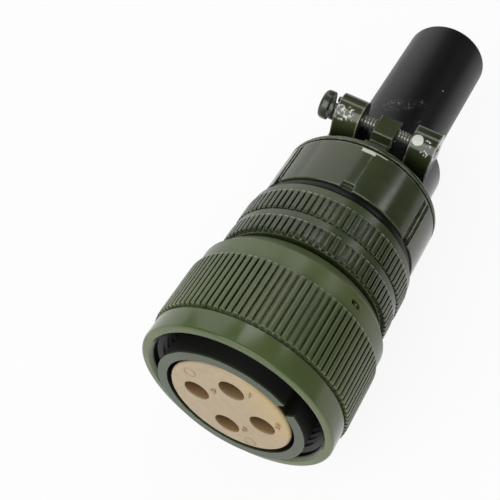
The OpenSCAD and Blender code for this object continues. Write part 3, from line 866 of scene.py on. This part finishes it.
def makeScrew():
    # shaped along +X about the origin, head first at x = 0, then laid along the lug
    s = screw
    length = s["under"] - s["tip"]
    core = rod((0, 0, 0), length - 0.3, s["root"] + 0.04, sides=32)
    edit(core)
    pick(core, "FACE", lambda v: v.x > length - 0.31)
    bpy.ops.mesh.extrude_region_move(TRANSFORM_OT_translate={"value": (0.3, 0, 0)})
    bpy.ops.transform.resize(value=(1, 0.75, 0.75), center_override=(length, 0, 0))
    done()
    thread = helix("screwThread", {"pitch": s["pitch"], "root": s["root"] - 0.02, "tip": s["r"],
                                   "start": 0.4, "end": length - 0.2}, steps=24)
    head = rod((-s["headT"], 0, 0), s["headT"], s["headR"], sides=72)
    edit(head)
    pick(head, "EDGE", lambda v: abs(v.x + s["headT"]) < 1e-4)
    bpy.ops.mesh.bevel(offset=0.9, segments=5, profile=0.55, affect="EDGES")
    pick(head, "EDGE", lambda v: abs(v.x) < 1e-4)
    bpy.ops.mesh.bevel(offset=0.2, segments=2, affect="EDGES")
    done()
    slot = block((-s["headT"] - 1, -s["headR"] - 1, -s["slotWidth"] / 2),
                 (-s["headT"] + s["slotDepth"], s["headR"] + 1, s["slotWidth"] / 2))
    cut(head, swung(slot, s["slotAngle"]))
    softEdges(head, 0.07, 2, 50)
    return joined("clampScrew", [head, core, thread])


def makeWasher():
    # one turn of square wire, sprung open, with its foot at x = 0
    s = screw
    ring = traced("lockWasher", [
        (0, s["washerIn"]), (0, s["washerOut"]), (s["wire"], s["washerOut"]), (s["wire"], s["washerIn"])])
    done()
    modify(ring, "SCREW", axis="X", angle=math.radians(s["washerTurn"]), screw_offset=s["rise"] * 0.99,
           iterations=1, steps=48, render_steps=48, use_merge_vertices=False, use_normal_calculate=False)
    edit(ring)
    bpy.ops.mesh.select_mode(type="EDGE")
    bpy.ops.mesh.select_all(action="DESELECT")
    bpy.ops.mesh.select_non_manifold()
    bpy.ops.mesh.edge_face_add()
    bpy.ops.mesh.select_all(action="SELECT")
    bpy.ops.mesh.normals_make_consistent(inside=False)
    done()
    softEdges(ring, 0.12, 2, 50)
    return ring


def laid(piece, side, y):
    # turns a piece shaped along +X to run along -Y from y, beside the screw hole on that side
    way = Matrix(((0, 1, 0, screwX), (-1, 0, 0, y), (0, 0, 1, screwZ), (0, 0, 0, 1)))
    piece.matrix_world = (Matrix.Identity(4) if side > 0 else Matrix.Rotation(math.pi, 4, "X")) @ way
    only(piece)
    bpy.ops.object.transform_apply(location=True, rotation=True, scale=True)
    return piece


for side, letter in ((1, "a"), (-1, "b")):
    laidScrew = laid(makeScrew(), side, screw["under"])
    laidScrew.name = "clampScrew" + letter.upper()
    finish(laidScrew, screwSteel, "screw_" + letter, "screw_steel", "clamp_screw_" + letter, smooth=40)
    ring = laid(makeWasher(), side, screw["under"])
    ring.name = "lockWasher" + letter.upper()
    finish(ring, washerSteel, "saddle_" + letter, "spring_steel", "lock_washer_" + letter)


print("kept pieces")
rearTan = tanMoulding("rearTan", holeSpots, insert["back"], insert["seatR"])
keptFinishes = {
    "nut_retaining_ring": springSteel, "insert_retaining_ring": springSteel, "insert_washer": washerMetal,
    "gland_washer": washerMetal, "rear_insert": rearTan, "socket_contact_1": contactSilver,
    "socket_contact_2": contactSilver, "socket_contact_3": contactSilver, "socket_contact_4": contactSilver,
}
for node, material in keptFinishes.items():
    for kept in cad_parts[node].material_slots:
        kept.material = material


print("stage")
floorZ = cadBox[0][2]
stage = {"floor": "#f7f7f5", "floorSize": 3.0, "floorGlow": 0.9, "haze": (0.0, 0.15), "ceiling": 0.13}


def studioSurround():
    # white beside the floor, dim overhead
    world = bpy.data.worlds.new("surround")
    bpy.context.scene.world = world
    world.use_nodes = True
    sky = Graph(world.node_tree)
    way = sky.add("ShaderNodeTexCoord", output="Generated")
    height = sky.add("ShaderNodeSeparateXYZ", None, {0: way}, "Z")
    backdrop = world.node_tree.nodes["Background"]
    sky.feed(backdrop.inputs["Color"], (1, 1, 1, 1))
    sky.feed(backdrop.inputs["Strength"], 1 - sky.step(height, *stage["haze"], True) * (1 - stage["ceiling"]))


def paleFloor():
    bpy.ops.object.select_all(action="DESELECT")
    bpy.ops.mesh.primitive_plane_add(size=stage["floorSize"], location=(0, 0, floorZ - 0.00002))
    floor = bpy.context.object
    floor.name = "floor"
    look = Finish("paleFloor")
    look.send(Base_Color=linear(stage["floor"]), Roughness=0.9)
    rays = [look.add("ShaderNodeLightPath", output=kind) for kind in (
        "Is Camera Ray", "Is Glossy Ray", "Is Transmission Ray")]
    glow = look.add("ShaderNodeEmission", None, {"Color": (1, 1, 1, 1), "Strength": 1.0})
    paint = Wire(look.tree, look.shader.outputs[0])
    blend = look.add("ShaderNodeMixShader", None, {0: worst(*rays) * stage["floorGlow"], 1: paint, 2: glow})
    look.feed(look.tree.nodes["Material Output"].inputs["Surface"], blend)
    floor.data.materials.append(look.material)


def softbox(name, way, distance, size, radiance):
    # an area lamp that stands in the given direction from the plug's middle
    middle = Vector((0.04, 0, 0))
    way = Vector(way).normalized()
    data = bpy.data.lights.new(name, "AREA")
    data.shape, data.size, data.size_y = "RECTANGLE", size[0], size[1]
    data.energy = radiance * math.pi * size[0] * size[1]
    light = bpy.data.objects.new(name, data)
    bpy.context.scene.collection.objects.link(light)
    light.location = middle + way * distance
    light.rotation_euler = (-way).to_track_quat("-Z", "X").to_euler()


def placeCamera():
    data = bpy.data.cameras.new("camera")
    data.lens, data.sensor_width = 65.0, 36.0
    data.clip_start = 0.005
    camera = bpy.data.objects.new("camera", data)
    bpy.context.scene.collection.objects.link(camera)
    right = Vector((0.4786, -0.8751, 0.0714))
    down = Vector((-0.6982, -0.4286, -0.5734))
    forward = Vector((0.5324, 0.2246, -0.8162))
    spot = Vector((-66.4, -27.5, 148.6)) * mm
    camera.matrix_world = Matrix.Translation(spot) @ Matrix((right, -down, -forward)).transposed().to_4x4()
    bpy.context.scene.camera = camera


studioSurround()
paleFloor()
softbox("overhead", (0.46, 0.15, 0.873), 0.6, (0.14, 0.2), 3.2)
softbox("strip", (0.55, -0.485, 0.68), 0.6, (0.26, 0.05), 4.2)
softbox("panel", (0.6, 0.61, 0.45), 0.8, (0.7, 0.6), 1.2)
softbox("front", (-0.75, 0.15, 0.65), 1.0, (1.0, 1.0), 3.6)
placeCamera()
bpy.context.scene.view_settings.view_transform = "Standard"

print("done")
